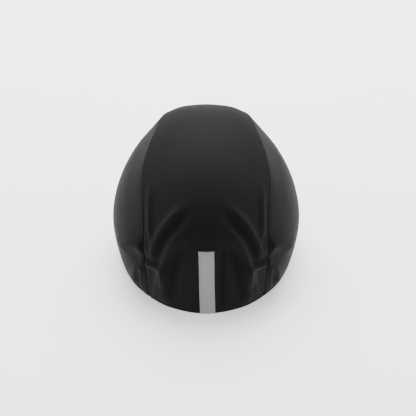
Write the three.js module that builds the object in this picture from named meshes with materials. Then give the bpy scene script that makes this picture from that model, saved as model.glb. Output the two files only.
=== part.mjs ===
// A three-panel cycling cap in waterproof softshell cloth: one wide centre panel that runs from the
// nape over the head to the forehead, a rounded panel over each ear, a short stiffened peak sewn
// under the front hem, and a strip of reflective tape sewn up the middle of the back.
// Sizes are in millimetres. Z is up and Y is forward, so the peak points along +Y and +X is on
// the wearer's right. The cap stands on a level surface on its nape hem and the edge of its peak.

import * as THREE from "three";

// The crown's outline before its seams and folds. Each way out from the middle has its furthest
// reach, the height of that widest place, how full it stays above it, and its tuck at the hem.
const CROWN_HEIGHT = 134;
const SQUARENESS = 1.93;
const SIDE = { reach: 84.4, widest: 38, fullness: 1.8, tuck: 7 };
const BACK = { reach: 105, widest: 55, fullness: 2.3, tuck: 4 };
const FRONT = { reach: 100, widest: 45, fullness: 2.5, tuck: 4 };
// Rays from this height, on the crown's middle axis, meet every part of the wall once.
const HEART_HEIGHT = 40;

// The wall, its turned-up hem, and the slit left between two panels.
const WALL = 1.6;
const HEM_TURN = 0.9;
const HEM_DEPTH = 12;
// The turned-up hem thins to nothing over this much of its upper edge.
const HEM_STEP = 3;
const SEAM_GAP = 0.4;
// A place this near the hem is on its lower edge.
const ON_HEM = 0.01;

// The hem lies flat at the nape as far forward as HEM_FLAT_TO, then climbs to the forehead.
const HEM_RISE = 18;
const HEM_FLAT_TO = -88;
const HEM_CURVE = 1.5;

// Half the centre panel's width, from the nape hem (0) over the top to the front hem (1).
const CENTRE_PANEL = [
  { along: 0, halfWidth: 50 },
  { along: 0.12, halfWidth: 51.7 },
  { along: 0.25, halfWidth: 52 },
  { along: 0.4, halfWidth: 51 },
  { along: 0.55, halfWidth: 40.5 },
  { along: 0.7, halfWidth: 35.5 },
  { along: 0.85, halfWidth: 35 },
  { along: 1, halfWidth: 34 },
];

// The seams stand up as ridges, because each panel pulls flat between them.
const RIDGE_REACH = 26;
const SEAM_RIDGE = [
  { along: 0, height: 0 },
  { along: 0.25, height: 1 },
  { along: 0.4, height: 3 },
  { along: 0.55, height: 3.5 },
  { along: 1, height: 2 },
];

// The top is flatter than the rest of the crown, between two rounded shoulders.
const SHOULDER = { fromSeam: 15, width: 12 };
const SHOULDER_HEIGHT = [
  { along: 0, height: 0 },
  { along: 0.35, height: 0 },
  { along: 0.52, height: 2.4 },
  { along: 0.7, height: 1.5 },
  { along: 1, height: 0 },
];

// Folds in the back of the crown. Each runs through three places, given as millimetres out from
// the middle and up from the floor, and stands up (+) or sinks in (-). Its side is 1 for a fold
// on the wearer's right and 0 for one on both sides.
const FOLDS = [
  { name: "crest by the seam", path: [45.5, 106, 48, 84, 45.5, 56], width: 4, height: 0.9, side: 0 },
  { name: "main slanting crest", path: [13, 102, 43.5, 78, 46.5, 40], width: 4.6, height: 2.2, side: 0 },
  { name: "hollow under it", path: [10, 98, 39.5, 74, 43, 40], width: 4.6, height: -1.8, side: 0 },
  { name: "second slanting crest", path: [12, 86, 39, 64, 35, 14], width: 5, height: 2, side: 0 },
  { name: "hollow under that", path: [14, 74, 31, 56, 29, 0], width: 5, height: -2, side: 0 },
  { name: "pleat by the tape", path: [13, 78, 12.5, 40, 13.5, -4], width: 4, height: -1.2, side: 1 },
  { name: "crease over the corner", path: [52.5, 43, 46, 44.5, 34, 48], width: 4, height: -1, side: 0 },
  { name: "top of the corner", path: [58, 38, 46, 39.5, 34, 43], width: 4, height: 1, side: 0 },
  { name: "turn of the corner", path: [37, 54, 34.5, 26, 35, -10], width: 7, height: 2.6, side: 0 },
  { name: "ridge over the ear", path: [44.5, 53, 65.5, 60.5, 78, 24], width: 7, height: 3.2, side: 0 },
  { name: "turn at the ear", path: [45, 34, 68, 38, 60, -12], width: 6, height: 1.8, side: 0 },
  { name: "flat side of the ear", path: [90, 46, 83, 20, 72, -14], width: 9, height: -0.7, side: 0 },
];
const FOLD_STEPS = 10;
// A fold rises from nothing at each end over this share of its length.
const FOLD_TAPER = 0.3;
// Folds fade out over this much of the crown's length, from the middle backwards.
const FOLD_FADE = 45;
// The sewn hem and seams hold the folds down to a share of their height, for this far off.
const HEM_HOLD = { share: 0.35, reach: 16 };
const SEAM_HOLD = { share: 0.35, reach: 6 };

// The tape: a strip up the middle of the back from the hem, its lower end a little to the right.
const TAPE = { width: 12.9, top: 65.5, thickness: 0.6, gap: 0.3, leanTop: 0.2, leanBottom: 1.3 };

// The peak: how far it reaches ahead of the crown, how far its ends stand out from the hem, and
// how far round the hem it is sewn, in degrees from straight ahead.
const PEAK = { reach: 56, endOut: 2, sewnTo: 58, fullness: 2.4, thickness: 3.2, edge: 2.2 };
const PEAK_CAMBER = 2.2;
const PEAK_ROOT = 3.5;
const PEAK_GAP = 0.5;
// Its edge arches up in the middle and comes down to the surface at two places, this share of
// the way from the middle to each end.
const PEAK_ARCH = 4;
const PEAK_TOUCH = Math.sin(Math.PI / 7);
// Above 1, the peak leaves the hem level and slopes more towards its edge.
const PEAK_SLOPE = 1.2;

// How finely each piece is divided.
const CENTRE_GRID = { along: 46, across: 24, crowding: 1.5 };
const SIDE_GRID = { along: 34, down: 12, crowding: 0.07 };
const TAPE_GRID = { up: 12, across: 2 };
const PEAK_GRID = { across: 28, out: 6 };
// How often a search for the wall halves its range, where it starts from, in millimetres or as
// a share of the way to a place near the wall, and the step that slopes are measured over.
const SEARCH_STEPS = 40;
const FAR_OUT = 200;
const FAR_SHARE = 4;
const SLOPE_STEP = 0.05;
// Places closer than this are one place, and no reach is less.
const SMALLEST = 0.001;

const CLOTH = new THREE.MeshStandardMaterial({ color: "#1c1c1e", roughness: 0.7, metalness: 0 });
const REFLECTIVE = new THREE.MeshStandardMaterial({
  color: "#9c9ca0",
  roughness: 0.45,
  metalness: 0.1,
});

// A smooth curve through a table's rows, read at one place along it.
function readTable(rows, along, column) {
  let i = 0;
  while (i < rows.length - 2 && along > rows[i + 1].along) i += 1;
  const slope = (a, b) => (rows[b][column] - rows[a][column]) / (rows[b].along - rows[a].along);
  const slopeAt = (k) => slope(Math.max(k - 1, 0), Math.min(k + 1, rows.length - 1));
  const span = rows[i + 1].along - rows[i].along;
  const s = (along - rows[i].along) / span;
  const h = s * s * (3 - 2 * s);
  const level = rows[i][column] * (1 - h) + rows[i + 1][column] * h;
  return level + span * (slopeAt(i) * s * (1 - s) ** 2 - slopeAt(i + 1) * s * s * (1 - s));
}

function clamp01(value) {
  return Math.min(Math.max(value, 0), 1);
}

function smoothStep(value) {
  const s = clamp01(value);
  return s * s * (3 - 2 * s);
}

// How far the crown reaches one way at a height.
function reachAt(way, z) {
  if (z < way.widest) return way.reach - way.tuck * ((way.widest - z) / way.widest) ** 2;
  const s = Math.min((z - way.widest) / (CROWN_HEIGHT - way.widest), 1);
  return way.reach * Math.sqrt(1 - s ** way.fullness);
}

// Above zero outside the crown's smooth outline, below zero inside it.
function outside(x, y, z) {
  const sideways = Math.max(reachAt(SIDE, z), SMALLEST);
  const lengthways = Math.max(reachAt(y < 0 ? BACK : FRONT, z), SMALLEST);
  return Math.abs(x / sideways) ** SQUARENESS + Math.abs(y / lengthways) ** SQUARENESS - 1;
}

// The place where a path out from the middle, a function of distance, leaves the crown.
function wallPlace(place, furthest) {
  let near = 0;
  let far = furthest;
  for (let i = 0; i < SEARCH_STEPS; i += 1) {
    const middle = (near + far) / 2;
    const p = place(middle);
    if (outside(p.x, p.y, p.z) > 0) far = middle;
    else near = middle;
  }
  return place((near + far) / 2);
}

function outlineNormal(p) {
  const across = (axis) => {
    const a = p.clone();
    const b = p.clone();
    a[axis] += SLOPE_STEP;
    b[axis] -= SLOPE_STEP;
    return outside(a.x, a.y, a.z) - outside(b.x, b.y, b.z);
  };
  return new THREE.Vector3(across("x"), across("y"), across("z")).normalize();
}

function hemHeight(y) {
  const forehead = FRONT.reach - FRONT.tuck;
  return HEM_RISE * clamp01((y - HEM_FLAT_TO) / (forehead - HEM_FLAT_TO)) ** HEM_CURVE;
}

// The hem at a distance out from the middle, at the back (-1) or the front (+1).
function hemAcross(x, end) {
  return wallPlace((d) => new THREE.Vector3(x, end * d, hemHeight(end * d)), FAR_OUT);
}

// The hem in a direction round the head, in radians from +X.
function hemRound(angle) {
  const place = (d) => {
    const y = d * Math.sin(angle);
    return new THREE.Vector3(d * Math.cos(angle), y, hemHeight(y));
  };
  return wallPlace(place, FAR_OUT);
}

// A place on the centre panel's outline: along from 0 at the nape to 1 at the forehead, and
// share of the half width from -1 to 1. Extra widens the panel, for its neighbours' edges.
function centreOutline(along, share, extra) {
  const width = (a) => readTable(CENTRE_PANEL, a, "halfWidth") + extra;
  const nape = hemAcross(share * width(0), -1);
  const forehead = hemAcross(share * width(1), 1);
  const turnOf = (p) => Math.atan2(p.z - HEART_HEIGHT, p.y);
  const start = turnOf(nape) + 2 * Math.PI;
  const turn = start + (turnOf(forehead) - start) * along;
  const x = share * width(along);
  const place = (d) =>
    new THREE.Vector3(x, d * Math.cos(turn), HEART_HEIGHT + d * Math.sin(turn));
  return wallPlace(place, FAR_OUT);
}

// Height of one fold at a place on the back of the crown, seen from behind.
function foldHeight(fold, x, z) {
  const [x0, z0, x1, z1, x2, z2] = fold.path;
  let nearest = Infinity;
  let where = 0;
  for (let i = 0; i <= FOLD_STEPS; i += 1) {
    const s = i / FOLD_STEPS;
    const px = x0 * (1 - s) ** 2 + 2 * x1 * s * (1 - s) + x2 * s * s;
    const pz = z0 * (1 - s) ** 2 + 2 * z1 * s * (1 - s) + z2 * s * s;
    const distance = Math.hypot(x - px, z - pz);
    if (distance < nearest) {
      nearest = distance;
      where = s;
    }
  }
  const taper = smoothStep(where / FOLD_TAPER) * smoothStep((1 - where) / FOLD_TAPER);
  return fold.height * taper * Math.exp(-((nearest / fold.width) ** 2));
}

function foldsAt(p) {
  const fade = smoothStep(-p.y / FOLD_FADE);
  if (fade === 0) return 0;
  const outOf = (fold) => (fold.side === 0 ? Math.abs(p.x) : p.x * fold.side);
  return fade * FOLDS.reduce((sum, fold) => sum + foldHeight(fold, outOf(fold), p.z), 0);
}

function ridgeAt(along, fromSeam) {
  return readTable(SEAM_RIDGE, along, "height") * clamp01(1 - fromSeam / RIDGE_REACH) ** 2;
}

function shoulderAt(along, fromSeam) {
  const aside = (fromSeam - SHOULDER.fromSeam) / SHOULDER.width;
  return readTable(SHOULDER_HEIGHT, along, "height") * Math.exp(-(aside ** 2));
}

function holdAt(hold, distance) {
  return hold.share + (1 - hold.share) * smoothStep(distance / hold.reach);
}

// Both faces of the wall at a place on the outline. The hem's lower edge is level. A distance
// from the seam is above zero on the centre panel and below zero on an ear panel.
function wallAt(outline, along, fromSeam, fromHem) {
  const normal = outlineNormal(outline);
  const off = Math.abs(fromSeam);
  const held = holdAt(HEM_HOLD, fromHem) * holdAt(SEAM_HOLD, off);
  const raise = ridgeAt(along, off) + shoulderAt(along, fromSeam) + foldsAt(outline) * held;
  const onHem = fromHem < ON_HEM;
  const outer = outline.clone().addScaledVector(normal, raise);
  if (onHem) outer.z = outline.z;
  const turned = HEM_TURN * smoothStep((HEM_DEPTH - fromHem) / HEM_STEP);
  const inward = onHem ? new THREE.Vector3(normal.x, normal.y, 0).normalize() : normal;
  const inner = outer.clone().addScaledVector(inward, -(WALL + turned));
  return { outer, inner };
}

// A closed shell from two facing grids of places, outer[i][j] and inner[i][j]. A row whose
// places all fall together is one point.
function shellGeometry(outer, inner) {
  const rows = outer.length;
  const columns = outer[0].length;
  const positions = [];
  const numbers = [outer, inner].map((grid) =>
    grid.map((row) => {
      const together = row[0].distanceTo(row[columns - 1]) < SMALLEST;
      let first = -1;
      return row.map((p) => {
        if (together && first >= 0) return first;
        positions.push(p.x, p.y, p.z);
        first = positions.length / 3 - 1;
        return first;
      });
    }),
  );
  const index = [];
  const triangle = (a, b, c) => {
    if (a !== b && b !== c && c !== a) index.push(a, b, c);
  };
  const quad = (a, b, c, d) => {
    triangle(a, b, c);
    triangle(a, c, d);
  };
  const [out, back] = numbers;
  for (let i = 0; i < rows - 1; i += 1) {
    for (let j = 0; j < columns - 1; j += 1) {
      quad(out[i][j], out[i][j + 1], out[i + 1][j + 1], out[i + 1][j]);
      quad(back[i][j], back[i + 1][j], back[i + 1][j + 1], back[i][j + 1]);
    }
    const last = columns - 1;
    quad(out[i][0], out[i + 1][0], back[i + 1][0], back[i][0]);
    quad(out[i + 1][last], out[i][last], back[i][last], back[i + 1][last]);
  }
  for (let j = 0; j < columns - 1; j += 1) {
    const end = rows - 1;
    quad(out[0][j + 1], out[0][j], back[0][j], back[0][j + 1]);
    quad(out[end][j], out[end][j + 1], back[end][j + 1], back[end][j]);
  }
  const geometry = new THREE.BufferGeometry();
  geometry.setAttribute("position", new THREE.Float32BufferAttribute(positions, 3));
  geometry.setIndex(index);
  return geometry;
}

// Evenly spaced places from 0 to 1, drawn closer together near 0 by a power above 1.
function places(count, power = 1) {
  return Array.from({ length: count + 1 }, (_, i) => (i / count) ** power);
}

// Distances along a list of points, added up from the first.
function lengthsAlong(points) {
  let total = 0;
  return points.map((p, i) => {
    if (i > 0) total += p.distanceTo(points[i - 1]);
    return total;
  });
}

function centrePanel() {
  const alongs = places(CENTRE_GRID.along, CENTRE_GRID.crowding);
  const shares = places(CENTRE_GRID.across).map((s) => s * 2 - 1);
  const columns = shares.map((share) => {
    const outline = alongs.map((along) => centreOutline(along, share, -SEAM_GAP / 2));
    const lengths = lengthsAlong(outline);
    const whole = lengths[lengths.length - 1];
    return outline.map((p, i) => {
      const fromSeam = (1 - Math.abs(share)) * readTable(CENTRE_PANEL, alongs[i], "halfWidth");
      const fromHem = Math.min(lengths[i], whole - lengths[i]);
      return wallAt(p, alongs[i], fromSeam, fromHem);
    });
  });
  const grid = (face) => alongs.map((_, i) => columns.map((column) => column[i][face]));
  return shellGeometry(grid("outer"), grid("inner"));
}

// One ear panel, between the seam above and the hem below, which meet at both its ends. The
// side is +1 on the wearer's right and -1 on the left.
function sidePanel(side) {
  const crowd = (s) => s - SIDE_GRID.crowding * Math.sin(2 * Math.PI * s);
  const alongs = places(SIDE_GRID.along).map(crowd);
  const downs = places(SIDE_GRID.down);
  const heart = new THREE.Vector3(0, 0, HEART_HEIGHT);
  const seam = alongs.map((along) => centreOutline(along, side, SEAM_GAP / 2));
  const roundOf = (p) => Math.atan2(p.y, Math.abs(p.x));
  const nape = roundOf(seam[0]);
  const forehead = roundOf(seam[seam.length - 1]);
  const rows = alongs.map((along, i) => {
    const hem = hemRound(nape + (forehead - nape) * along);
    hem.x *= side;
    const outline = downs.map((down) => {
      const toPlace = seam[i].clone().lerp(hem, down).sub(heart);
      return wallPlace((d) => heart.clone().addScaledVector(toPlace, d), FAR_SHARE);
    });
    const lengths = lengthsAlong(outline);
    const whole = lengths[lengths.length - 1];
    return outline.map((p, j) => wallAt(p, along, -lengths[j], whole - lengths[j]));
  });
  const grid = (face) => rows.map((row) => (side > 0 ? row : [...row].reverse()).map((w) => w[face]));
  return shellGeometry(grid("outer"), grid("inner"));
}

// The tape follows the centre panel's outer face, a gap away from it.
function tape() {
  const across = places(TAPE_GRID.across).map((s) => s - 0.5);
  const ups = places(TAPE_GRID.up);
  const rows = ups.map((up) => {
    const z = TAPE.gap + (TAPE.top - TAPE.gap) * up;
    const lean = TAPE.leanBottom + (TAPE.leanTop - TAPE.leanBottom) * up;
    return across.map((share) => {
      const x = share * TAPE.width + lean;
      const outline = wallPlace((d) => new THREE.Vector3(x, -d, z), FAR_OUT);
      const out = outlineNormal(outline).setZ(0).normalize();
      const raise = foldsAt(outline) * holdAt(HEM_HOLD, z) + TAPE.gap;
      return {
        inner: outline.clone().addScaledVector(out, raise),
        outer: outline.clone().addScaledVector(out, raise + TAPE.thickness),
      };
    });
  });
  const grid = (face) => rows.map((row) => row.map((w) => w[face]));
  return shellGeometry(grid("outer"), grid("inner"));
}

// Height of the underside of the peak's edge, with its ends at endHeight.
function peakEdgeHeight(across, endHeight) {
  const a = Math.abs(across);
  if (a < PEAK_TOUCH) return PEAK_ARCH * (1 - (a / PEAK_TOUCH) ** 2) ** 2;
  return endHeight * ((a - PEAK_TOUCH) / (1 - PEAK_TOUCH)) ** 2;
}

// The peak's upper face: across from -1 to 1, and out from 0 at the hem to 1 at its edge.
function peakPlace(across, out) {
  const hemAt = (a) => hemRound(Math.PI / 2 - THREE.MathUtils.degToRad(PEAK.sewnTo) * a);
  const root = hemAt(across);
  const end = hemAt(1);
  const forehead = hemAcross(0, 1);
  const inward = new THREE.Vector3(root.x, root.y, 0).normalize().multiplyScalar(-PEAK_ROOT);
  const turn = (across * Math.PI) / 2;
  const round = (value) => Math.sign(value) * Math.abs(value) ** (2 / PEAK.fullness);
  const edge = new THREE.Vector3(
    (end.x + PEAK.endOut) * round(Math.sin(turn)),
    end.y + (forehead.y + PEAK.reach - end.y) * round(Math.cos(turn)),
    0,
  );
  const place = root.clone().add(inward).lerp(edge, out);
  const endHeight = end.z - PEAK_GAP - PEAK.thickness;
  const edgeTop = peakEdgeHeight(across, endHeight) + PEAK.edge;
  const share = out ** PEAK_SLOPE;
  const camber = PEAK_CAMBER * 4 * out ** 2 * (1 - out) * (1 - across ** 2);
  place.z = (hemHeight(place.y) - PEAK_GAP) * (1 - share) + edgeTop * share + camber;
  return place;
}

function peak() {
  const acrosses = places(PEAK_GRID.across).map((s) => Math.sin((s - 0.5) * Math.PI));
  const outs = places(PEAK_GRID.out);
  const thickness = (out) => PEAK.thickness + (PEAK.edge - PEAK.thickness) * out ** 3;
  const rows = acrosses.map((across) =>
    outs.map((out) => {
      const top = peakPlace(across, out);
      return { top, under: top.clone().setZ(top.z - thickness(out)) };
    }),
  );
  const grid = (face) => outs.map((_, j) => rows.map((row) => row[j][face]));
  return shellGeometry(grid("top"), grid("under"));
}

function addPiece(group, name, geometry, material) {
  const piece = new THREE.Mesh(geometry, material);
  piece.name = name;
  group.add(piece);
}

const cap = new THREE.Group();
addPiece(cap, "centre_panel", centrePanel(), CLOTH);
addPiece(cap, "side_panel_left", sidePanel(-1), CLOTH);
addPiece(cap, "side_panel_right", sidePanel(1), CLOTH);
addPiece(cap, "peak", peak(), CLOTH);
addPiece(cap, "reflective_tape", tape(), REFLECTIVE);

// The origin is under the middle of the whole cap, on the surface that it stands on.
const extent = new THREE.Box3().setFromObject(cap);
const middle = extent.getCenter(new THREE.Vector3());
cap.position.set(-middle.x, -middle.y, -extent.min.z);

export default cap;
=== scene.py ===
"""A black softshell cycling cap with a reflective tape up the back, seen from behind and above.

The crown's outline, panels and folds are worked out in millimetres from its middle axis, as the
cap's maker would measure them, and then moved to the frame, in metres.
"""

import math

import bmesh
import bpy
import numpy as np
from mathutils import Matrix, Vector


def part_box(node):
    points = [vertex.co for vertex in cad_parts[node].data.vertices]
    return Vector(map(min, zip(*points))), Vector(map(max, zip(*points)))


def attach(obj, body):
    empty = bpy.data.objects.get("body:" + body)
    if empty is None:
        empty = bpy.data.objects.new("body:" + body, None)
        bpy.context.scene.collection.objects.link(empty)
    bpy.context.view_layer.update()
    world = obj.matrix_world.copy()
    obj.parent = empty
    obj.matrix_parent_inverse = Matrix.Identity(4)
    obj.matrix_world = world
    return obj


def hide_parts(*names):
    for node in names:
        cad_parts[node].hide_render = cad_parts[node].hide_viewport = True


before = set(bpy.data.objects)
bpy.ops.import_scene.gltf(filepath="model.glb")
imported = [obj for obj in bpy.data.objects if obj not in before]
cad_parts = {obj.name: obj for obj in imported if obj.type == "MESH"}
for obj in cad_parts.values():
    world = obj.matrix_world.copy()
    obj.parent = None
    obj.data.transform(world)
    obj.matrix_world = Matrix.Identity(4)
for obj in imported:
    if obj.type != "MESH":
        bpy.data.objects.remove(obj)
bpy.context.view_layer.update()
MM = 0.001

# The crown's outline. Each way out from the middle has its furthest reach, the height of that
# widest place, how full it stays above it, and its tuck at the hem.
CROWN_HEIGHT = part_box("centre_panel")[1].z / MM
SQUARENESS = 1.93
SIDE = dict(reach=84.4, widest=38, fullness=1.8, tuck=7)
BACK = dict(reach=105, widest=55, fullness=2.3, tuck=4)
FRONT = dict(reach=100, widest=45, fullness=2.5, tuck=4)
HEART_HEIGHT = 40
# How far forward of the frame's origin the crown's middle axis stands.
MIDDLE_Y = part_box("centre_panel")[0].y / MM + BACK["reach"]

# The hem lies flat at the nape as far forward as HEM_FLAT_TO, then climbs to the forehead.
HEM_RISE = 18
HEM_FLAT_TO = -88
HEM_CURVE = 1.5

# The cloth, its turned-up hem, and the seam allowances that lie under the ear panels.
CLOTH = 1.1
TURN_UP = 1.0
TURN_UP_HEIGHT = 12
ALLOWANCE = 0.9
ALLOWANCE_WIDTH = 7
# These inner layers thin away over EDGE_STEP at their edges. Where two of them overlap, the
# thinner one adds this share of itself.
EDGE_STEP = 0.6
LAPPED_SHARE = 0.5
SEAM_GROOVE = dict(reach=1.3, depth=1.1)
TOPSTITCH_FROM_SEAM = 2.9
TOPSTITCH_VALLEY = dict(reach=1.1, depth=0.15)
HEM_STITCH_HEIGHT = 9.5
# The hem's stitches pull the cloth in by this share of what the seams' topstitches do.
HEM_STITCH_PULL = 0.3

# The tape up the back, its lower end a little to the right, with stitches inside its edges.
TAPE = dict(width=12.9, top=65.5, bottom=0.3, thickness=0.55, gap=0.06, lean_top=0.2, lean_bottom=1.3)
TAPE_EDGE = dict(radius=0.45, wander=0.1, wander_length=8.5)
TAPE_STITCHES_IN = 1.3
TAPE_STITCHES_FROM = HEM_STITCH_HEIGHT / 3
TAPE_STITCH_VALLEY = dict(reach=0.55, depth=0.16)
TAPE_PUCKER = dict(reach=1.6, height=0.07)

# The peak: its reach ahead of the crown, how far its ends stand out from the hem, how far round
# the hem it is sewn, in degrees from straight ahead, and its thickness at its root and edge.
PEAK = dict(reach=56, end_out=2, sewn_to=58, fullness=2.4, thickness=3.2, edge=2.2)
PEAK_CAMBER = 2.2
PEAK_ROOT = 3.5
PEAK_GAP = 0.5
PEAK_ARCH = 4
PEAK_TOUCH = math.sin(math.pi / 7)
PEAK_SLOPE = 1.2
# The peak keeps its root's thickness for most of the way out. More thins it nearer its edge.
PEAK_THINNING = 3
PEAK_STITCHES_IN = (3.5, 11)
PEAK_VALLEY = dict(reach=0.8, depth=0.22)
# The peak's root is turned up behind the hem that it is sewn to.
PEAK_TURN_UP = dict(height=5, thickness=1.2)

# Stitches: their spacing along a row, and half their length, width and height.
SEAM_STITCH = dict(pitch=2.8, half=(1.05, 0.24, 0.17))
HEM_STITCH = dict(pitch=3.2, half=(1.2, 0.2, 0.1))
TAPE_STITCH = dict(pitch=2.4, half=(0.9, 0.19, 0.13))

# Half the centre panel's width, from the nape hem (0) over the top to the front hem (1).
PANEL_ALONG = (0, 0.12, 0.25, 0.4, 0.55, 0.7, 0.85, 1)
PANEL_HALF_WIDTH = (50, 51.7, 52, 51, 40.5, 35.5, 35, 34)
# The seams stand up as ridges, because each panel pulls flat between them.
RIDGE_ALONG = (0, 0.25, 0.4, 0.55, 1)
RIDGE_HEIGHT = (0, 1, 3, 3.5, 2)
RIDGE_REACH = 26
# The top is flatter than the rest of the crown, between two rounded shoulders.
SHOULDER_ALONG = (0, 0.35, 0.52, 0.7, 1)
SHOULDER_HEIGHT = (0, 0, 2.4, 1.5, 0)
SHOULDER = dict(from_seam=15, width=12)
# At the sewn hem and seams the folds have only a share of their height. They have all of it from
# this reach on.
HEM_HOLD = dict(share=0.35, reach=16)
SEAM_HOLD = dict(share=0.35, reach=6)

# Folds in the back of the crown. Each bends from its start past its middle to its end, in
# millimetres out from the middle and up from the floor, and stands up (+) or sinks in (-). An
# edge near 1 is sharp and one near 2 is round. Its side is -1 or 1, or 0 for a fold on both.
FOLD_COLUMNS = ("start", "middle", "end", "width", "height", "edge", "side")
FOLDS = {
    "crest beside the seam": ((45.5, 106), (48, 84), (45.5, 56), 2.3, 1.6, 1.9, 0),
    "hollow inside it": ((42, 103), (45, 87), (45, 68), 2.2, -0.4, 2, 0),
    "main slanting crest": ((13, 102.5), (43.5, 78), (46.5, 40), 3, 3.6, 1.8, 0),
    "hollow under it": ((10, 98), (39.5, 74.5), (43, 40), 2.8, -2.4, 2, 0),
    "second slanting crest": ((12, 86), (39, 64), (35, 14), 3.8, 3.6, 2, 0),
    "hollow under that": ((14, 74), (31, 56), (29, 0), 4.2, -3.4, 2, 0),
    "pleat beside the tape": ((13, 78), (12.5, 40), (13.5, -4), 2.6, -2.8, 2, 1),
    "crease over the corner": ((52.5, 43), (46, 44.5), (34, 48), 2.6, -1.1, 1.9, 0),
    "top of the corner": ((58, 38), (46, 39.5), (34, 43), 2.7, 1.9, 1.9, 0),
    "inner side of the corner": ((35.5, 50), (33.5, 36), (37, 20), 3, 0.8, 2, 0),
    "turn of the corner": ((37, 54), (34.5, 26), (35, -10), 7, 2.6, 2, 0),
    "crease down the corner": ((39.5, 40), (40, 26), (46.5, -2), 1.8, 1, 1.8, 0),
    "ridge over the ear": ((44.5, 53), (65.5, 60.5), (78, 24), 6.5, 4.4, 2, 0),
    "turn at the ear": ((45, 34), (68, 38), (60, -12), 4.2, 2.4, 1.9, 0),
    "flat side of the ear": ((90, 46), (83, 20), (72, -14), 8, -0.8, 2, 0),
    "first crease at the ear": ((54, 38), (55.5, 22), (55, 2), 1.6, 0.8, 1.8, 0),
    "second crease at the ear": ((58, 34), (61, 20), (61, 2), 1.6, 0.7, 1.8, 0),
}
# A fold's path is cut into this many straight stretches. It rises from nothing at each end over
# FOLD_TAPER of its length, and all folds fade in over FOLD_FADE mm from the middle backwards.
FOLD_STEPS = 16
FOLD_TAPER = 0.3
FOLD_FADE = 45

# A search for the crown's outline starts this far out, in millimetres or, on the way to the hem,
# as a share of that way, and halves the stretch that the outline lies in this often.
FAR_OUT = 200
FAR_SHARE = 4
HALVINGS = 36
# These stand in for nothing where a reach or a length is divided by.
SMALLEST = 0.001
NO_LENGTH = 1e-12

# How many places each grid has each way. A crowding of 1 is even, and more sets them closer
# together near the ends.
ROWS = 260
ROW_CROWDING = 1.35
CENTRE_COLUMNS = 92
SIDE_COLUMNS = 96
COLUMN_CROWDING = 1.6
TAPE_GRID = dict(up=150, up_crowding=1.2, across=61, across_crowding=1.7)
PEAK_GRID = dict(across=170, out=70, out_crowding=1.6)
TAPE_LINE_PLACES = dict(up=80, across=20)
# A row of stitches stops where less cloth than this is left past it.
LINE_ROOM = 1.2
# Places nearer to each other than this are made one, in metres.
MERGE_DISTANCE = 0.000004

# The patterns' pitches, in metres. A real weave has some 25 threads to the centimetre, too fine
# to see from here. It is drawn coarser, so that close views show it.
WEAVE_PITCH = 0.0009
KNIT_PITCH = 0.0014
TWIST_PITCH = 0.0004
TWIST_SLANT = 0.7
# Noise is given by about how many of its lumps there are in a metre.
CLOTH_GRAIN = 700.0
CLOTH_WAVES = 38.0
KNIT_NAP = 900.0
FILM_BEADS = 1600.0
# The stitches' sizes vary between these shares, in an order that the seed fixes.
STITCH_SLACK = (0.88, 1.1)
STITCH_SEED = 7

# The camera, in millimetres and degrees: its distance, how high it stands, how far its aim is
# over the crown's middle, and how far it is aside.
CAMERA = dict(lens=100.5, sensor=36, distance=1075, elevation=33, aim_up=38.2, aside=1.65)
# The lights, in metres and watts, and the place that they all point at.
LIT_PLACE = (0, 0, 0.05)
LIGHTS = {
    "overhead": dict(place=(0, 0.8, 1.4), size=(1.6, 1.6), power=106),
    "left_side": dict(place=(-1.5, -0.2, 0.6), size=(1.4, 0.7), power=18),
    "right_side": dict(place=(1.5, -0.2, 0.6), size=(1.4, 0.7), power=18),
}
FLOOR_REACH = 20


def smooth_step(value):
    s = np.clip(value, 0, 1)
    return s * s * (3 - 2 * s)


def read_table(places, values, along):
    """A smooth curve through a table's values, read at places along it."""
    places, values = np.asarray(places, float), np.asarray(values, float)
    last = len(places) - 1
    left = np.clip(np.arange(last + 1) - 1, 0, last)
    right = np.clip(np.arange(last + 1) + 1, 0, last)
    slopes = (values[right] - values[left]) / (places[right] - places[left])
    i = np.clip(np.searchsorted(places, along, "right") - 1, 0, last - 1)
    span = places[i + 1] - places[i]
    s = (along - places[i]) / span
    blend = s * s * (3 - 2 * s)
    level = values[i] * (1 - blend) + values[i + 1] * blend
    return level + span * (slopes[i] * s * (1 - s) ** 2 - slopes[i + 1] * s * s * (1 - s))


def reach_at(way, z):
    """How far the crown reaches one way at a height."""
    above = np.clip((z - way["widest"]) / (CROWN_HEIGHT - way["widest"]), 0, 1)
    dome = way["reach"] * np.sqrt(1 - above ** way["fullness"])
    below = way["reach"] - way["tuck"] * ((way["widest"] - z) / way["widest"]) ** 2
    return np.where(z < way["widest"], below, dome)


def outside(p):
    """Above zero outside the crown's smooth outline, below zero inside it."""
    x, y, z = np.moveaxis(p, -1, 0)
    sideways = np.maximum(reach_at(SIDE, z), SMALLEST)
    lengthways = np.where(y < 0, reach_at(BACK, z), reach_at(FRONT, z))
    lengthways = np.maximum(lengthways, SMALLEST)
    return np.abs(x / sideways) ** SQUARENESS + np.abs(y / lengthways) ** SQUARENESS - 1


def point(x, y, z):
    return np.stack(np.broadcast_arrays(x, y, z), -1).astype(float)


def unit(v):
    return v / np.maximum(np.linalg.norm(v, axis=-1, keepdims=True), NO_LENGTH)


def wall_place(place, shape, furthest):
    """The places where paths out from the middle, functions of distance, leave the crown."""
    near, far = np.zeros(shape), np.full(shape, float(furthest))
    for _ in range(HALVINGS):
        middle = (near + far) / 2
        beyond = outside(place(middle)) > 0
        near, far = np.where(beyond, near, middle), np.where(beyond, middle, far)
    return place((near + far) / 2)


def outline_normal(p):
    step = 0.05
    ways = np.eye(3) * step
    return unit(np.stack([outside(p + way) - outside(p - way) for way in ways], -1))


def hem_height(y):
    forehead = FRONT["reach"] - FRONT["tuck"]
    return HEM_RISE * np.clip((y - HEM_FLAT_TO) / (forehead - HEM_FLAT_TO), 0, 1) ** HEM_CURVE


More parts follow.
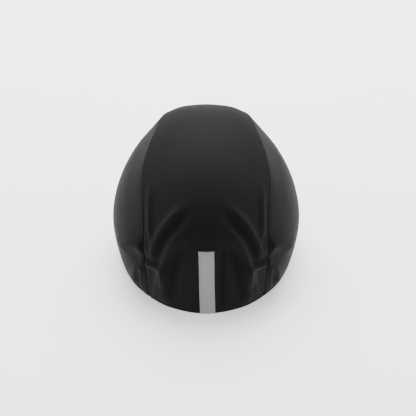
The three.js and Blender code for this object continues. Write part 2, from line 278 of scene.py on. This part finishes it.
def hem_across(x, end):
    """The hem at distances out from the middle, at the back (-1) or the front (+1)."""
    x = np.asarray(x, float)
    return wall_place(lambda d: point(x, end * d, hem_height(end * d)), x.shape, FAR_OUT)


def hem_round(angle):
    """The hem in directions round the head, in radians from +X."""
    angle = np.asarray(angle, float)

    def place(d):
        y = d * np.sin(angle)
        return point(d * np.cos(angle), y, hem_height(y))

    return wall_place(place, angle.shape, FAR_OUT)


def centre_outline(along, share):
    """The centre panel's outline: along from 0 at the nape to 1 at the forehead, and share of the
    half width from -1 to 1."""
    nape = hem_across(share * PANEL_HALF_WIDTH[0], -1)
    forehead = hem_across(share * PANEL_HALF_WIDTH[-1], 1)
    start = np.arctan2(nape[..., 2] - HEART_HEIGHT, nape[..., 1]) + 2 * math.pi
    end = np.arctan2(forehead[..., 2] - HEART_HEIGHT, forehead[..., 1])
    turn = start + (end - start) * along
    x = share * read_table(PANEL_ALONG, PANEL_HALF_WIDTH, along)

    def place(d):
        return point(x, d * np.cos(turn), HEART_HEIGHT + d * np.sin(turn))

    return wall_place(place, np.broadcast(along, share).shape, FAR_OUT)


def fold_height(row, x, z):
    """Height of one fold at places on the back of the crown, seen from behind."""
    fold = dict(zip(FOLD_COLUMNS, row))
    s = np.linspace(0, 1, FOLD_STEPS + 1)[:, None]
    start, middle, end = (np.array(fold[k], float) for k in ("start", "middle", "end"))
    path = start * (1 - s) ** 2 + 2 * middle * s * (1 - s) + end * s * s
    x = x * fold["side"] if fold["side"] else np.abs(x)
    nearest, where = np.full(x.shape, np.inf), np.zeros(x.shape)
    for i, (a, b) in enumerate(zip(path, path[1:])):
        run = b - a
        t = np.clip(((x - a[0]) * run[0] + (z - a[1]) * run[1]) / (run @ run), 0, 1)
        distance = np.hypot(x - a[0] - t * run[0], z - a[1] - t * run[1])
        closer = distance < nearest
        nearest = np.where(closer, distance, nearest)
        where = np.where(closer, (i + t) / FOLD_STEPS, where)
    taper = smooth_step(where / FOLD_TAPER) * smooth_step((1 - where) / FOLD_TAPER)
    return fold["height"] * taper * np.exp(-((nearest / fold["width"]) ** fold["edge"]))


def folds_at(p):
    x, y, z = np.moveaxis(p, -1, 0)
    fade = smooth_step(-y / FOLD_FADE)
    return fade * sum(fold_height(row, x, z) for row in FOLDS.values())


def hold_at(hold, distance):
    return hold["share"] + (1 - hold["share"]) * smooth_step(distance / hold["reach"])


def ridge_at(along, from_seam):
    height = read_table(RIDGE_ALONG, RIDGE_HEIGHT, along)
    return height * np.clip(1 - from_seam / RIDGE_REACH, 0, 1) ** 2


def shoulder_at(along, from_seam):
    height = read_table(SHOULDER_ALONG, SHOULDER_HEIGHT, along)
    return height * np.exp(-(((from_seam - SHOULDER["from_seam"]) / SHOULDER["width"]) ** 2))


def groove_at(from_seam):
    return -SEAM_GROOVE["depth"] * np.clip(1 - from_seam / SEAM_GROOVE["reach"], 0, 1) ** 2


def valley_at(distance, valley=TOPSTITCH_VALLEY):
    """The shallow valley that a row of stitches pulls into the cloth."""
    return -valley["depth"] * np.exp(-((distance / valley["reach"]) ** 2))


def hem_roundness(from_hem):
    """How far the two faces draw together near the fold at the hem's lower edge."""
    radius = (CLOTH + TURN_UP) / 2
    up = np.clip(1 - from_hem / radius, 0, 1)
    return radius * (1 - np.sqrt(1 - up**2))


def lengths_along(points, axis):
    """Distances along rows of points, added up from the first."""
    steps = np.linalg.norm(np.diff(points, axis=axis), axis=-1)
    first = np.zeros_like(np.take(steps, [0], axis))
    return np.concatenate([first, np.cumsum(steps, axis)], axis)


def crowded(count, power):
    """Places from 0 to 1, closer together near both ends."""
    s = np.linspace(0, 1, count)
    return s**power / (s**power + (1 - s) ** power)


def outward_at(outline, from_hem):
    """Directions out from the outline, level at the hem's lower edge."""
    normal = outline_normal(outline)
    return unit(np.where(from_hem[..., None] < CLOTH, normal * (1, 1, 0), normal))


def wall_faces(outline, along, from_seam, from_hem, top, allowance):
    """The outer and inner faces of a panel, each set out from its outline along the outline's directions
    out.
    """
    outward = outward_at(outline, from_hem)
    held = hold_at(HEM_HOLD, from_hem) * hold_at(SEAM_HOLD, from_seam)
    shape = top + ridge_at(along, from_seam) + folds_at(outline) * held
    stitched = valley_at(from_seam - TOPSTITCH_FROM_SEAM) * allowance
    stitched = stitched + HEM_STITCH_PULL * valley_at(from_hem - HEM_STITCH_HEIGHT)
    draw = hem_roundness(from_hem)
    outer = shape + stitched + groove_at(from_seam) - draw
    turned = TURN_UP * smooth_step((TURN_UP_HEIGHT - from_hem) / EDGE_STEP + 0.5)
    lapped = allowance * ALLOWANCE * smooth_step((ALLOWANCE_WIDTH - from_seam) / EDGE_STEP + 0.5)
    layers = np.maximum(turned, lapped) + LAPPED_SHARE * np.minimum(turned, lapped)
    inner = shape - CLOTH - layers + draw
    return outline + outward * outer[..., None], outline + outward * inner[..., None]


def to_frame(points):
    return (points + (0, MIDDLE_Y, 0)) * MM


def shell_mesh(name, outer, inner, uv):
    """A closed wall from two facing grids of places. Rows whose places fall together are merged."""
    rows, columns = outer.shape[:2]
    count = rows * columns
    first = np.arange(count).reshape(rows, columns)
    second = first + count

    def quads(a, b, c, d):
        return np.stack([a.ravel(), b.ravel(), c.ravel(), d.ravel()], 1)

    faces = [
        quads(first[:-1, :-1], first[:-1, 1:], first[1:, 1:], first[1:, :-1]),
        quads(second[:-1, :-1], second[1:, :-1], second[1:, 1:], second[:-1, 1:]),
        quads(first[:-1, 0], first[1:, 0], second[1:, 0], second[:-1, 0]),
        quads(first[1:, -1], first[:-1, -1], second[:-1, -1], second[1:, -1]),
        quads(first[0, 1:], first[0, :-1], second[0, :-1], second[0, 1:]),
        quads(first[-1, :-1], first[-1, 1:], second[-1, 1:], second[-1, :-1]),
    ]
    places = to_frame(np.concatenate([outer.reshape(-1, 3), inner.reshape(-1, 3)]))
    sides = np.concatenate([np.full(len(group), k == 1) for k, group in enumerate(faces)])
    return finished_mesh(name, places, np.concatenate(faces), np.tile(uv.reshape(-1, 2), (2, 1)), sides)


def finished_mesh(name, places, faces, uv, sides):
    """A smooth mesh object in the frame. Its faces on the second side take a second material."""
    mesh = bpy.data.meshes.new(name)
    mesh.from_pydata(places.tolist(), [], faces.tolist())
    layer = mesh.uv_layers.new(name="cloth")
    corners = np.zeros(len(mesh.loops), int)
    mesh.loops.foreach_get("vertex_index", corners)
    layer.data.foreach_set("uv", uv[corners].astype(np.float32).ravel())
    mesh.polygons.foreach_set("material_index", sides.astype(np.int32))
    mesh.polygons.foreach_set("use_smooth", np.full(len(faces), True))
    merge_doubles(mesh)
    piece = bpy.data.objects.new(name, mesh)
    bpy.context.scene.collection.objects.link(piece)
    return piece


def merge_doubles(mesh):
    work = bmesh.new()
    work.from_mesh(mesh)
    bmesh.ops.remove_doubles(work, verts=work.verts, dist=MERGE_DISTANCE)
    work.to_mesh(mesh)
    work.free()


def centre_faces():
    along = crowded(ROWS, ROW_CROWDING)[:, None]
    share = crowded(CENTRE_COLUMNS, COLUMN_CROWDING)[None, :] * 2 - 1
    outline = centre_outline(along, share)
    across = lengths_along(outline, 1)
    up = lengths_along(outline, 0)
    from_seam = np.minimum(across, across[:, -1:] - across)
    from_hem = np.minimum(up, up[-1:] - up)
    top = shoulder_at(along, from_seam)
    outer, inner = wall_faces(outline, along, from_seam, from_hem, top, allowance=0)
    uv = np.stack([across - across[:, -1:] / 2, up], -1) * MM
    return dict(outer=outer, inner=inner, uv=uv, from_hem=from_hem, from_seam=from_seam, up=up)


def side_faces(side):
    along = crowded(ROWS, ROW_CROWDING)[:, None]
    down = crowded(SIDE_COLUMNS, COLUMN_CROWDING)[None, :]
    seam = centre_outline(along, np.array([[float(side)]]))
    nape = np.arctan2(seam[0, 0, 1], abs(seam[0, 0, 0]))
    forehead = np.arctan2(seam[-1, 0, 1], abs(seam[-1, 0, 0]))
    hem = hem_round(nape + (forehead - nape) * along) * (side, 1, 1)
    heart = np.array([0, 0, HEART_HEIGHT], float)
    toward = seam * (1 - down[..., None]) + hem * down[..., None] - heart
    outline = wall_place(lambda d: heart + toward * d[..., None], toward.shape[:2], FAR_SHARE)
    across = lengths_along(outline, 1)
    from_hem = across[:, -1:] - across
    top = shoulder_at(along, -across)
    outer, inner = wall_faces(outline, along, across, from_hem, top, allowance=1)
    up = lengths_along(seam, 0)
    uv = np.stack([across, np.broadcast_to(up, across.shape)], -1) * MM
    grids = dict(outer=outer, inner=inner, uv=uv, from_hem=from_hem, from_seam=across, up=up)
    if side < 0:
        grids = {k: v[:, ::-1] if v.shape[1] > 1 else v for k, v in grids.items()}
    return grids


def on_back(x, z, rise):
    """Places above the cloth in the middle of the back."""
    outline = wall_place(lambda d: point(x, -d, z), x.shape, FAR_OUT)
    folded = folds_at(outline) * hold_at(HEM_HOLD, z)
    stitched = HEM_STITCH_PULL * valley_at(z - HEM_STITCH_HEIGHT)
    height = folded + stitched - hem_roundness(z) + rise
    return outline + outward_at(outline, z) * height[..., None]


def tape_across(z, aside):
    """How far out the tape lies at a height, aside from -1 at its left edge to 1 at its right."""
    up = z / TAPE["top"]
    lean = TAPE["lean_bottom"] + (TAPE["lean_top"] - TAPE["lean_bottom"]) * up
    wander = TAPE_EDGE["wander"] * np.sin(z / TAPE_EDGE["wander_length"] + aside)
    return lean + aside * (TAPE["width"] / 2 + wander)


def tape_faces():
    up = crowded(TAPE_GRID["up"], TAPE_GRID["up_crowding"])[:, None]
    z = TAPE["bottom"] + (TAPE["top"] - TAPE["bottom"]) * up
    aside = crowded(TAPE_GRID["across"], TAPE_GRID["across_crowding"])[None, :] * 2 - 1
    x = tape_across(z, aside)
    z = z + 0 * x
    from_side = (1 - np.abs(aside)) * TAPE["width"] / 2
    from_edge = np.minimum(from_side, np.minimum(TAPE["top"] - z, z - TAPE["bottom"]))
    in_round = np.clip(1 - from_edge / TAPE_EDGE["radius"], 0, 1)
    rounded = TAPE["thickness"] * np.sqrt(1 - in_round**2)
    row = np.minimum(from_side, TAPE["top"] - z)
    stitched = valley_at(row - TAPE_STITCHES_IN, TAPE_STITCH_VALLEY)
    near_row = np.exp(-(((row - TAPE_STITCHES_IN) / TAPE_PUCKER["reach"]) ** 2))
    pucker = TAPE_PUCKER["height"] * near_row * np.cos(2 * math.pi * z / TAPE_STITCH["pitch"])
    inner = on_back(x, z, TAPE["gap"] + 0 * x)
    outer = on_back(x, z, TAPE["gap"] + rounded + (stitched + pucker) * (1 - in_round))
    return dict(outer=outer, inner=inner, uv=np.stack([x, z], -1) * MM)


def peak_edge_height(across, end_height):
    """Height of the underside of the peak's edge, with its ends at end_height."""
    a = np.abs(across)
    arch = PEAK_ARCH * (1 - (a / PEAK_TOUCH) ** 2) ** 2
    return np.where(a < PEAK_TOUCH, arch, end_height * ((a - PEAK_TOUCH) / (1 - PEAK_TOUCH)) ** 2)


def peak_place(across, out):
    """The peak's upper face: across from -1 to 1, and out from 0 at the hem to 1 at its edge."""
    sewn_to = math.radians(PEAK["sewn_to"])
    root = hem_round(math.pi / 2 - sewn_to * across)
    end = hem_round(math.pi / 2 - sewn_to)
    forehead = hem_across(0, 1)
    root = root - unit(root * (1, 1, 0)) * PEAK_ROOT
    sine, cosine = np.sin(across * math.pi / 2), np.cos(across * math.pi / 2)
    power = 2 / PEAK["fullness"]
    edge_x = (end[0] + PEAK["end_out"]) * np.sign(sine) * np.abs(sine) ** power
    edge_y = end[1] + (forehead[1] + PEAK["reach"] - end[1]) * np.clip(cosine, 0, 1) ** power
    x = root[..., 0] * (1 - out) + edge_x * out
    y = root[..., 1] * (1 - out) + edge_y * out
    end_height = end[2] - PEAK_GAP - PEAK["thickness"]
    edge_top = peak_edge_height(across, end_height) + PEAK["edge"]
    share = out**PEAK_SLOPE
    camber = PEAK_CAMBER * 4 * out**2 * (1 - out) * (1 - across**2)
    z = (hem_height(y) - PEAK_GAP) * (1 - share) + edge_top * share + camber
    return point(x, y, z)


def peak_faces():
    """Two layers of cloth over a stiffener, turned in at the edge, with rows of stitches."""
    across = np.sin((np.linspace(0, 1, PEAK_GRID["across"]) - 0.5) * math.pi)[None, :]
    out = (1 - (1 - np.linspace(0, 1, PEAK_GRID["out"])) ** PEAK_GRID["out_crowding"])[:, None]
    top = peak_place(across, out)
    from_edge = np.linalg.norm(top - top[-1:], axis=-1)
    thickness = PEAK["thickness"] + (PEAK["edge"] - PEAK["thickness"]) * out**PEAK_THINNING
    in_round = np.clip(1 - from_edge / (PEAK["edge"] / 2), 0, 1)
    draw = thickness / 2 * (1 - np.sqrt(1 - in_round**2))
    stitched = sum(valley_at(from_edge - inward, PEAK_VALLEY) for inward in PEAK_STITCHES_IN)
    up = np.array([0, 0, 1.0])
    outer = top + up * (stitched - draw)[..., None]
    inner = top - up * (thickness + stitched - draw)[..., None]
    root = outer[:1] + up * PEAK_TURN_UP["height"]
    outer = np.concatenate([root, outer])
    inner = np.concatenate([root - unit(root * (1, 1, 0)) * PEAK_TURN_UP["thickness"], inner])
    from_edge = np.concatenate([from_edge[:1] + PEAK_TURN_UP["height"], from_edge])
    flat = outer[..., :2].copy()
    flat[0, :, 1] -= PEAK_TURN_UP["height"]
    return dict(outer=outer, inner=inner, uv=flat * MM, from_edge=from_edge)


def line_on(grid, measure, wanted):
    """One place in each row of a grid, where a measure along the row reaches a value. Rows too
    short to leave LINE_ROOM past it are left out."""
    found = []
    for row, values in zip(grid, measure):
        if values[0] > values[-1]:
            row, values = row[::-1], values[::-1]
        if values[0] <= wanted <= values[-1] - LINE_ROOM:
            found.append([np.interp(wanted, values, row[:, k]) for k in range(3)])
    return np.array(found)


def to_linear(code):
    """A colour from an sRGB hex value such as "#1c1c1e"."""
    parts = [int(code[i : i + 2], 16) / 255 for i in (1, 3, 5)]
    linear = [p / 12.92 if p <= 0.04045 else ((p + 0.055) / 1.055) ** 2.4 for p in parts]
    return (*linear, 1)


def add(tree, kind, inputs=None, **settings):
    """Adds a node. Inputs are values, or sockets to link from, by a socket's name or number."""
    node = tree.nodes.new(kind)
    for name, value in settings.items():
        setattr(node, name, value)
    for key, value in (inputs or {}).items():
        if isinstance(value, bpy.types.NodeSocket):
            tree.links.new(value, node.inputs[key])
        else:
            node.inputs[key].default_value = value
    return node


def new_material(name):
    material = bpy.data.materials.new(name)
    material.use_nodes = True
    material.node_tree.nodes.clear()
    return material, material.node_tree


def waves(tree, place, pitch, direction):
    """Ridges a pitch apart, in metres. A wave texture has one each pi / 10 at a scale of 1."""
    inputs = {"Vector": place, "Scale": math.pi / 10 / pitch}
    return add(tree, "ShaderNodeTexWave", inputs, bands_direction=direction).outputs[1]


def softshell():
    """Woven polyester face on a thin waterproof film: a dark satin that shines softly at a slant.

    The weave breaks the shine up into a fine grain, and the broad noise gives the cloth the
    faint unevenness of a film that is glued on.
    """
    material, tree = new_material("softshell_satin")
    place = add(tree, "ShaderNodeTexCoord")
    flat = add(tree, "ShaderNodeUVMap", uv_map="cloth").outputs[0]
    warp, weft = waves(tree, flat, WEAVE_PITCH, "X"), waves(tree, flat, WEAVE_PITCH, "Y")
    weave = add(tree, "ShaderNodeMath", {0: warp, 1: weft}, operation="MULTIPLY")
    solid = place.outputs["Object"]
    grain = add(tree, "ShaderNodeTexNoise", {"Vector": solid, "Scale": CLOTH_GRAIN, "Detail": 3.0})
    broad = add(tree, "ShaderNodeTexNoise", {"Vector": solid, "Scale": CLOTH_WAVES, "Detail": 3.0})
    woven = add(tree, "ShaderNodeBump", {"Height": weave.outputs[0], "Strength": 0.25, "Distance": 0.00015})
    rough = add(tree, "ShaderNodeBump", {
        "Height": grain.outputs[0], "Normal": woven.outputs[0], "Strength": 0.25, "Distance": 0.0002,
    })
    uneven = add(tree, "ShaderNodeBump", {
        "Height": broad.outputs[0], "Normal": rough.outputs[0], "Strength": 0.35, "Distance": 0.0015,
    })
    shader = add(tree, "ShaderNodeBsdfPrincipled", {
        "Base Color": to_linear("#121214"), "Roughness": 0.85, "Specular IOR Level": 0.09,
        "Sheen Weight": 0.07, "Sheen Roughness": 0.29, "Normal": uneven.outputs[0],
    })
    add(tree, "ShaderNodeOutputMaterial", {"Surface": shader.outputs[0]})
    return material


def knit_backing():
    """The brushed knit on the cloth's inner side: dull, with a short nap over faint ribs."""
    material, tree = new_material("brushed_knit_backing")
    solid = add(tree, "ShaderNodeTexCoord").outputs["Object"]
    flat = add(tree, "ShaderNodeUVMap", uv_map="cloth").outputs[0]
    nap = add(tree, "ShaderNodeTexNoise", {"Vector": solid, "Scale": KNIT_NAP, "Detail": 4.0})
    ribs = add(tree, "ShaderNodeBump", {
        "Height": waves(tree, flat, KNIT_PITCH, "X"), "Strength": 0.3, "Distance": 0.0003,
    })
    fuzzy = add(tree, "ShaderNodeBump", {
        "Height": nap.outputs[0], "Normal": ribs.outputs[0], "Strength": 0.5, "Distance": 0.0003,
    })
    shader = add(tree, "ShaderNodeBsdfPrincipled", {
        "Base Color": to_linear("#2c2c30"), "Roughness": 0.95, "Specular IOR Level": 0.1,
        "Sheen Weight": 0.15, "Sheen Roughness": 0.5, "Normal": fuzzy.outputs[0],
    })
    add(tree, "ShaderNodeOutputMaterial", {"Surface": shader.outputs[0]})
    return material


def reflective_film():
    """Grey film full of glass beads, too small to see: they give its flat grey a fine glitter."""
    material, tree = new_material("glass_bead_film")
    place = add(tree, "ShaderNodeTexCoord")
    beads = add(tree, "ShaderNodeTexNoise", {
        "Vector": place.outputs["Object"], "Scale": FILM_BEADS, "Detail": 2.0, "Roughness": 0.7,
    })
    shade = add(tree, "ShaderNodeMapRange", {
        "Value": beads.outputs[0], "From Min": 0.3, "From Max": 0.7, "To Min": 0.85, "To Max": 1.15,
    })
    grey = add(tree, "ShaderNodeMix", {
        "Factor": 1.0, "A": to_linear("#7f7f81"), "B": shade.outputs[0],
    }, data_type="RGBA", blend_type="MULTIPLY")
    bump = add(tree, "ShaderNodeBump", {"Height": beads.outputs[0], "Strength": 0.3, "Distance": 0.0001})
    shader = add(tree, "ShaderNodeBsdfPrincipled", {
        "Base Color": grey.outputs["Result"], "Roughness": 0.42, "Normal": bump.outputs[0],
    })
    add(tree, "ShaderNodeOutputMaterial", {"Surface": shader.outputs[0]})
    return material


def thread(name, colour):
    """Matt spun polyester thread, whose twist shows as fine slanting ridges."""
    material, tree = new_material(name)
    place = add(tree, "ShaderNodeTexCoord").outputs["Object"]
    slant = (0, TWIST_SLANT, TWIST_SLANT)
    turned = add(tree, "ShaderNodeMapping", {"Vector": place, "Rotation": slant}).outputs[0]
    twist = add(tree, "ShaderNodeBump", {
        "Height": waves(tree, turned, TWIST_PITCH, "X"), "Strength": 0.4, "Distance": 0.0001,
    })
    shader = add(tree, "ShaderNodeBsdfPrincipled", {
        "Base Color": to_linear(colour), "Roughness": 0.8, "Specular IOR Level": 0.2,
        "Normal": twist.outputs[0],
    })
    add(tree, "ShaderNodeOutputMaterial", {"Surface": shader.outputs[0]})
    return material


def stitch_tree():
    """Nodes that set stitches along paths, each with its length along the path."""
    tree = bpy.data.node_groups.new("stitch_row", "GeometryNodeTree")
    kinds = (("Geometry", "Geometry"), ("Pitch", "Float"), ("Half Size", "Vector"), ("Thread", "Material"))
    for name, kind in kinds:
        tree.interface.new_socket(name, in_out="INPUT", socket_type="NodeSocket" + kind)
    tree.interface.new_socket("Geometry", in_out="OUTPUT", socket_type="NodeSocketGeometry")
    given = add(tree, "NodeGroupInput").outputs
    path = add(tree, "GeometryNodeMeshToCurve", {"Mesh": given["Geometry"]})
    spaced = add(tree, "GeometryNodeResampleCurve", {
        "Curve": path.outputs[0], "Length": given["Pitch"],
    }, mode="LENGTH")
    tangent = add(tree, "GeometryNodeInputTangent")
    facing = add(tree, "GeometryNodeInputNamedAttribute", {"Name": "facing"}, data_type="FLOAT_VECTOR")
    along = add(tree, "FunctionNodeAlignRotationToVector", {"Vector": tangent.outputs[0]}, axis="X")
    turned = add(tree, "FunctionNodeAlignRotationToVector", {
        "Rotation": along.outputs[0], "Vector": facing.outputs[0],
    }, axis="Z", pivot_axis="X")
    ball = add(tree, "GeometryNodeMeshUVSphere", {"Segments": 6, "Rings": 5, "Radius": 1.0})
    smooth = add(tree, "GeometryNodeSetShadeSmooth", {"Geometry": ball.outputs[0]})
    slack = add(tree, "FunctionNodeRandomValue", {
        2: STITCH_SLACK[0], 3: STITCH_SLACK[1], "Seed": STITCH_SEED,
    }, data_type="FLOAT")
    size = add(tree, "ShaderNodeVectorMath", {
        0: given["Half Size"], "Scale": slack.outputs[1],
    }, operation="SCALE")
    placed = add(tree, "GeometryNodeInstanceOnPoints", {
        "Points": spaced.outputs[0], "Instance": smooth.outputs[0],
        "Rotation": turned.outputs[0], "Scale": size.outputs[0],
    })
    real = add(tree, "GeometryNodeRealizeInstances", {"Geometry": placed.outputs[0]})
    coloured = add(tree, "GeometryNodeSetMaterial", {
        "Geometry": real.outputs[0], "Material": given["Thread"],
    })
    add(tree, "NodeGroupOutput", {"Geometry": coloured.outputs[0]})
    return tree


def stitches(name, lines, stitch, material, tree):
    """A mesh of stitches along lines of places, each stitch lying flat on the crown."""
    places = np.concatenate(lines)
    starts = np.cumsum([0] + [len(line) for line in lines])
    edges = [(i, i + 1) for a, b in zip(starts, starts[1:]) for i in range(a, b - 1)]
    path = bpy.data.meshes.new(name + "_path")
    path.from_pydata(to_frame(places).tolist(), edges, [])
    facing = path.attributes.new("facing", "FLOAT_VECTOR", "POINT")
    facing.data.foreach_set("vector", outline_normal(places).astype(np.float32).ravel())
    row = bpy.data.objects.new(name + "_row", path)
    bpy.context.scene.collection.objects.link(row)
    modifier = row.modifiers.new("stitches", "NODES")
    modifier.node_group = tree
    sockets = {item.name: item.identifier for item in tree.interface.items_tree if item.in_out == "INPUT"}
    modifier[sockets["Pitch"]] = stitch["pitch"] * MM
    modifier[sockets["Half Size"]] = [half * MM for half in stitch["half"]]
    modifier[sockets["Thread"]] = material
    bpy.context.view_layer.update()
    made = row.evaluated_get(bpy.context.evaluated_depsgraph_get())
    mesh = bpy.data.meshes.new_from_object(made)
    bpy.data.objects.remove(row)
    piece = bpy.data.objects.new(name, mesh)
    bpy.context.scene.collection.objects.link(piece)
    return piece


def show(piece):
    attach(piece, "root")


def show_wall(name, faces, node, face, back):
    """A wall in place of a node, with a material for its face and one for its back."""
    piece = shell_mesh(name, faces["outer"], faces["inner"], faces["uv"])
    piece.data.materials.append(face)
    piece.data.materials.append(back)
    show(piece)
    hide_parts(node)


def tape_lines():
    """The rows of stitches up both sides of the tape and across its top."""
    z = np.linspace(TAPE_STITCHES_FROM, TAPE["top"] - TAPE_STITCHES_IN, TAPE_LINE_PLACES["up"])
    share = 1 - 2 * TAPE_STITCHES_IN / TAPE["width"]
    on_top = TAPE["gap"] + TAPE["thickness"]
    lines = [on_back(tape_across(z, side * share), z, on_top + 0 * z) for side in (-1, 1)]
    aside = np.linspace(-share, share, TAPE_LINE_PLACES["across"])
    high = np.full(aside.shape, TAPE["top"] - TAPE_STITCHES_IN)
    lines.append(on_back(tape_across(high, aside), high, on_top + 0 * high))
    return lines


def build():
    cloth, backing, film = softshell(), knit_backing(), reflective_film()
    black, grey = thread("black_thread", "#0b0b0c"), thread("grey_thread", "#9b9b9d")
    tree = stitch_tree()
    centre, peak = centre_faces(), peak_faces()
    show_wall("centre_panel_cloth", centre, "centre_panel", cloth, backing)
    lengthways = centre["outer"].swapaxes(0, 1)
    from_front = centre["up"][-1:] - centre["up"]
    hem_lines = [line_on(lengthways, up.T, HEM_STITCH_HEIGHT) for up in (centre["up"], from_front)]
    seam_lines = []
    for side, node in ((-1, "side_panel_left"), (1, "side_panel_right")):
        ear = side_faces(side)
        show_wall(node + "_cloth", ear, node, cloth, backing)
        seam_lines.append(line_on(ear["outer"], ear["from_seam"], TOPSTITCH_FROM_SEAM))
        hem_lines.append(line_on(ear["outer"], ear["from_hem"], HEM_STITCH_HEIGHT))
    show_wall("peak_cloth", peak, "peak", cloth, cloth)
    show_wall("reflective_tape_film", tape_faces(), "reflective_tape", film, film)
    outward = peak["outer"].swapaxes(0, 1)
    peak_lines = [line_on(outward, peak["from_edge"].T, inward) for inward in PEAK_STITCHES_IN]
    show(stitches("seam_stitches", seam_lines, SEAM_STITCH, black, tree))
    show(stitches("hem_stitches", hem_lines, HEM_STITCH, black, tree))
    show(stitches("peak_stitches", peak_lines, SEAM_STITCH, black, tree))
    show(stitches("tape_stitches", tape_lines(), TAPE_STITCH, grey, tree))


def aimed(thing, target):
    toward = Vector(target) - thing.location
    thing.rotation_euler = toward.to_track_quat("-Z", "Y").to_euler()


def area_light(name, place, size, power):
    light = bpy.data.lights.new(name, "AREA")
    light.shape = "RECTANGLE"
    light.size, light.size_y = size
    light.energy = power
    lamp = bpy.data.objects.new(name, light)
    lamp.location = place
    aimed(lamp, LIT_PLACE)
    bpy.context.scene.collection.objects.link(lamp)


def studio_world():
    """White walls all round, a little brighter behind the camera, and a lit sheet below."""
    world = bpy.data.worlds.new("studio")
    world.use_nodes = True
    tree = world.node_tree
    tree.nodes.clear()
    way = add(tree, "ShaderNodeTexCoord")
    split = add(tree, "ShaderNodeSeparateXYZ", {0: way.outputs["Generated"]})
    walls = add(tree, "ShaderNodeMapRange", {
        "Value": split.outputs["Y"], "From Min": -1, "From Max": 0.1, "To Min": 0.69, "To Max": 0.63,
    }, interpolation_type="SMOOTHSTEP")
    below = add(tree, "ShaderNodeMapRange", {
        "Value": split.outputs["Z"], "From Min": -0.6, "From Max": 0.0, "To Min": 4.0, "To Max": 1.0,
    }, interpolation_type="SMOOTHSTEP")
    both = add(tree, "ShaderNodeMath", {0: walls.outputs[0], 1: below.outputs[0]}, operation="MULTIPLY")
    sky = add(tree, "ShaderNodeBackground", {"Strength": both.outputs[0]})
    add(tree, "ShaderNodeOutputWorld", {"Surface": sky.outputs[0]})
    bpy.context.scene.world = world


def pale_floor():
    """A pale sheet lit from below. Soft light passes it as if it weren't there, and it casts no
    shadow. Besides the camera, only shine sees its own glow."""
    mesh = bpy.data.meshes.new("floor")
    corners = [(x * FLOOR_REACH, y * FLOOR_REACH, 0) for x, y in ((-1, -1), (1, -1), (1, 1), (-1, 1))]
    mesh.from_pydata(corners, [], [(0, 1, 2, 3)])
    floor = bpy.data.objects.new("floor", mesh)
    bpy.context.scene.collection.objects.link(floor)
    material, tree = new_material("pale_sheet")
    sheet = add(tree, "ShaderNodeBsdfPrincipled", {
        "Base Color": to_linear("#fafafa"), "Roughness": 0.9,
        "Emission Color": to_linear("#ffffff"), "Emission Strength": 0.5,
    })
    add(tree, "ShaderNodeOutputMaterial", {"Surface": sheet.outputs[0]})
    mesh.materials.append(material)
    floor.visible_diffuse = False
    floor.visible_shadow = False


def set_camera():
    """Behind and above the cap, looking a little over the crown's middle."""
    camera = bpy.data.objects.new("camera", bpy.data.cameras.new("camera"))
    camera.data.lens = CAMERA["lens"]
    camera.data.sensor_width = CAMERA["sensor"]
    elevation = math.radians(CAMERA["elevation"])
    away = point(0, -math.cos(elevation), math.sin(elevation))
    upward = point(0, math.sin(elevation), math.cos(elevation))
    aside = point(CAMERA["aside"], 0, 0)
    camera.location = to_frame(away * CAMERA["distance"] + aside)
    aimed(camera, to_frame(upward * CAMERA["aim_up"] + aside))
    bpy.context.scene.collection.objects.link(camera)
    bpy.context.scene.camera = camera


build()
for light_name, light_facts in LIGHTS.items():
    area_light(light_name, **light_facts)
studio_world()
pale_floor()
set_camera()
